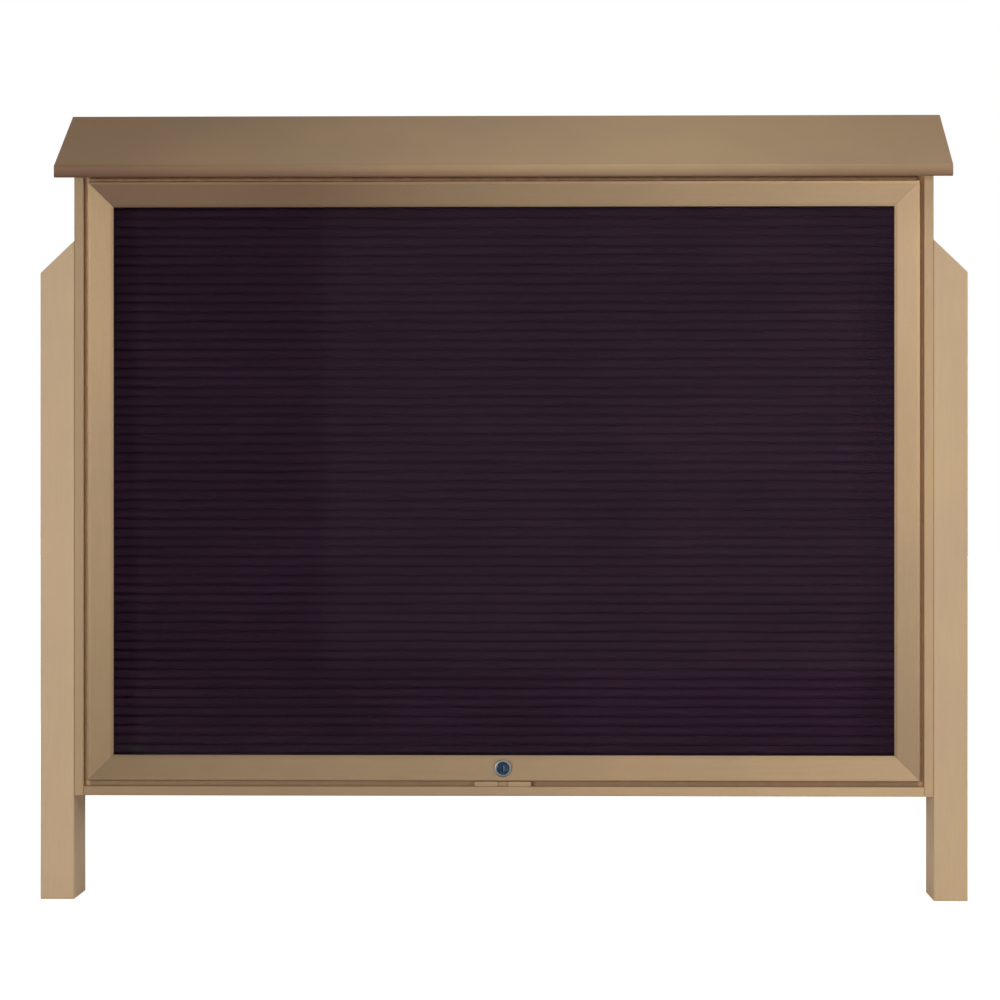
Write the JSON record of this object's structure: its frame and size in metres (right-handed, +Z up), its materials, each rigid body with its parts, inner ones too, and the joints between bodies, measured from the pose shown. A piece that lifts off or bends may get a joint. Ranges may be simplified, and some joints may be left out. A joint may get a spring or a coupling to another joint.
{
  "type": "freestanding letter board",
  "caption": "Freestanding outdoor letter board: a shallow tan case between side posts, with a sloped roof, a top-hung framed window with a cam lock, and a dark grooved board for letters.",
  "frame": {"origin": "on the ground, in the middle of the board's width and depth", "axes": "+X along the board's width, to the right as seen from the front; +Y from the front to the back; +Z up"},
  "size_m": [1.233, 0.184, 1.0589],
  "materials": {
    "tan_board": "lightly textured solid-colour sheet",
    "black_grooved_board": "matt ribbed strips",
    "clear_pane": "clear and smooth",
    "foam_rubber": "matt brown foam",
    "stainless_steel": "brushed",
    "bronze_paint": "satin brown",
    "bright_chrome": "polished",
    "dark_chrome": "polished and dark",
    "black_paint": "satin black",
    "black_nylon": "satin"
  },
  "bodies": {
    "case": {"left_post": "tan_board", "right_post": "tan_board", "left_side_panel": "tan_board", "right_side_panel": "tan_board", "bottom_panel": "tan_board", "top_panel": "tan_board", "back_panel": "tan_board", "roof_board": "tan_board", "roof_cleats": "tan_board", "board_battens": "tan_board", "left_stop": "tan_board", "right_stop": "tan_board", "top_stop": "tan_board", "bottom_stop": "tan_board", "keeper_block": "tan_board", "letter_board": "black_grooved_board", "door_seal": "foam_rubber", "post_bolts": "stainless_steel", "post_bolt_washers": "stainless_steel", "post_bolt_nuts": "stainless_steel", "roof_cleat_screws": "stainless_steel", "panel_screws": "stainless_steel", "back_screws": "stainless_steel", "letter_board_screws": "stainless_steel", "stop_screws": "stainless_steel", "strike_screws": "stainless_steel", "hinge_case_screws": "stainless_steel", "case_bracket_screws": "stainless_steel", "strike_plate": "stainless_steel", "left_strut_case_bracket": "stainless_steel", "right_strut_case_bracket": "stainless_steel", "hinge_case_leaf": "bronze_paint", "hinge_pin": "bronze_paint"},
    "door": {"door_top_rail": "tan_board", "door_bottom_rail": "tan_board", "door_left_stile": "tan_board", "door_right_stile": "tan_board", "mitre_screws": "stainless_steel", "window_pane": "clear_pane", "glazing_tape": "foam_rubber", "pane_retainers": "tan_board", "retainer_screws": "stainless_steel", "hinge_door_leaf": "bronze_paint", "hinge_door_screws": "stainless_steel", "left_strut_door_bracket": "stainless_steel", "right_strut_door_bracket": "stainless_steel", "door_bracket_screws": "stainless_steel", "lock_barrel": "bright_chrome", "lock_nut": "stainless_steel"},
    "lock": {"lock_plug": "dark_chrome", "lock_cam": "stainless_steel", "cam_screw": "stainless_steel"},
    "left_tube": {"left_strut_tube": "black_paint", "left_strut_guide": "black_nylon"},
    "left_rod": {"left_strut_rod": "bright_chrome", "left_strut_piston": "black_nylon"},
    "right_tube": {"right_strut_tube": "black_paint", "right_strut_guide": "black_nylon"},
    "right_rod": {"right_strut_rod": "bright_chrome", "right_strut_piston": "black_nylon"}
  },
  "joints": [
    {"name": "door_hinge", "type": "hinge", "parent": "case", "child": "door", "pos_m": [0, -0.0547, 0.9596], "axis": [-1, 0, 0], "range_deg": [0, 80]},
    {"name": "lock_turn", "type": "hinge", "parent": "door", "child": "lock", "pos_m": [0, -0.02, 0.1751], "axis": [0, 1, 0], "range_deg": [0, 90]},
    {"name": "left_tube_pivot", "type": "hinge", "parent": "case", "child": "left_tube", "pos_m": [-0.54, 0.0703, 0.9548], "axis": [-1, 0, 0], "range_deg": [0, 40]},
    {"name": "left_rod_pivot", "type": "hinge", "parent": "door", "child": "left_rod", "pos_m": [-0.54, -0.0245, 0.83821], "axis": [-1, 0, 0], "range_deg": [-40, 0]},
    {"name": "right_tube_pivot", "type": "hinge", "parent": "case", "child": "right_tube", "pos_m": [0.54, 0.0703, 0.9548], "axis": [-1, 0, 0], "range_deg": [0, 40]},
    {"name": "right_rod_pivot", "type": "hinge", "parent": "door", "child": "right_rod", "pos_m": [0.54, -0.0245, 0.83821], "axis": [-1, 0, 0], "range_deg": [-40, 0]}
  ],
  "couplings": [
    {"joint": "left_tube_pivot", "follows": "door_hinge", "ratio": 0.5},
    {"joint": "left_rod_pivot", "follows": "door_hinge", "ratio": -0.5},
    {"joint": "right_tube_pivot", "follows": "door_hinge", "ratio": 0.5},
    {"joint": "right_rod_pivot", "follows": "door_hinge", "ratio": -0.5}
  ]
}
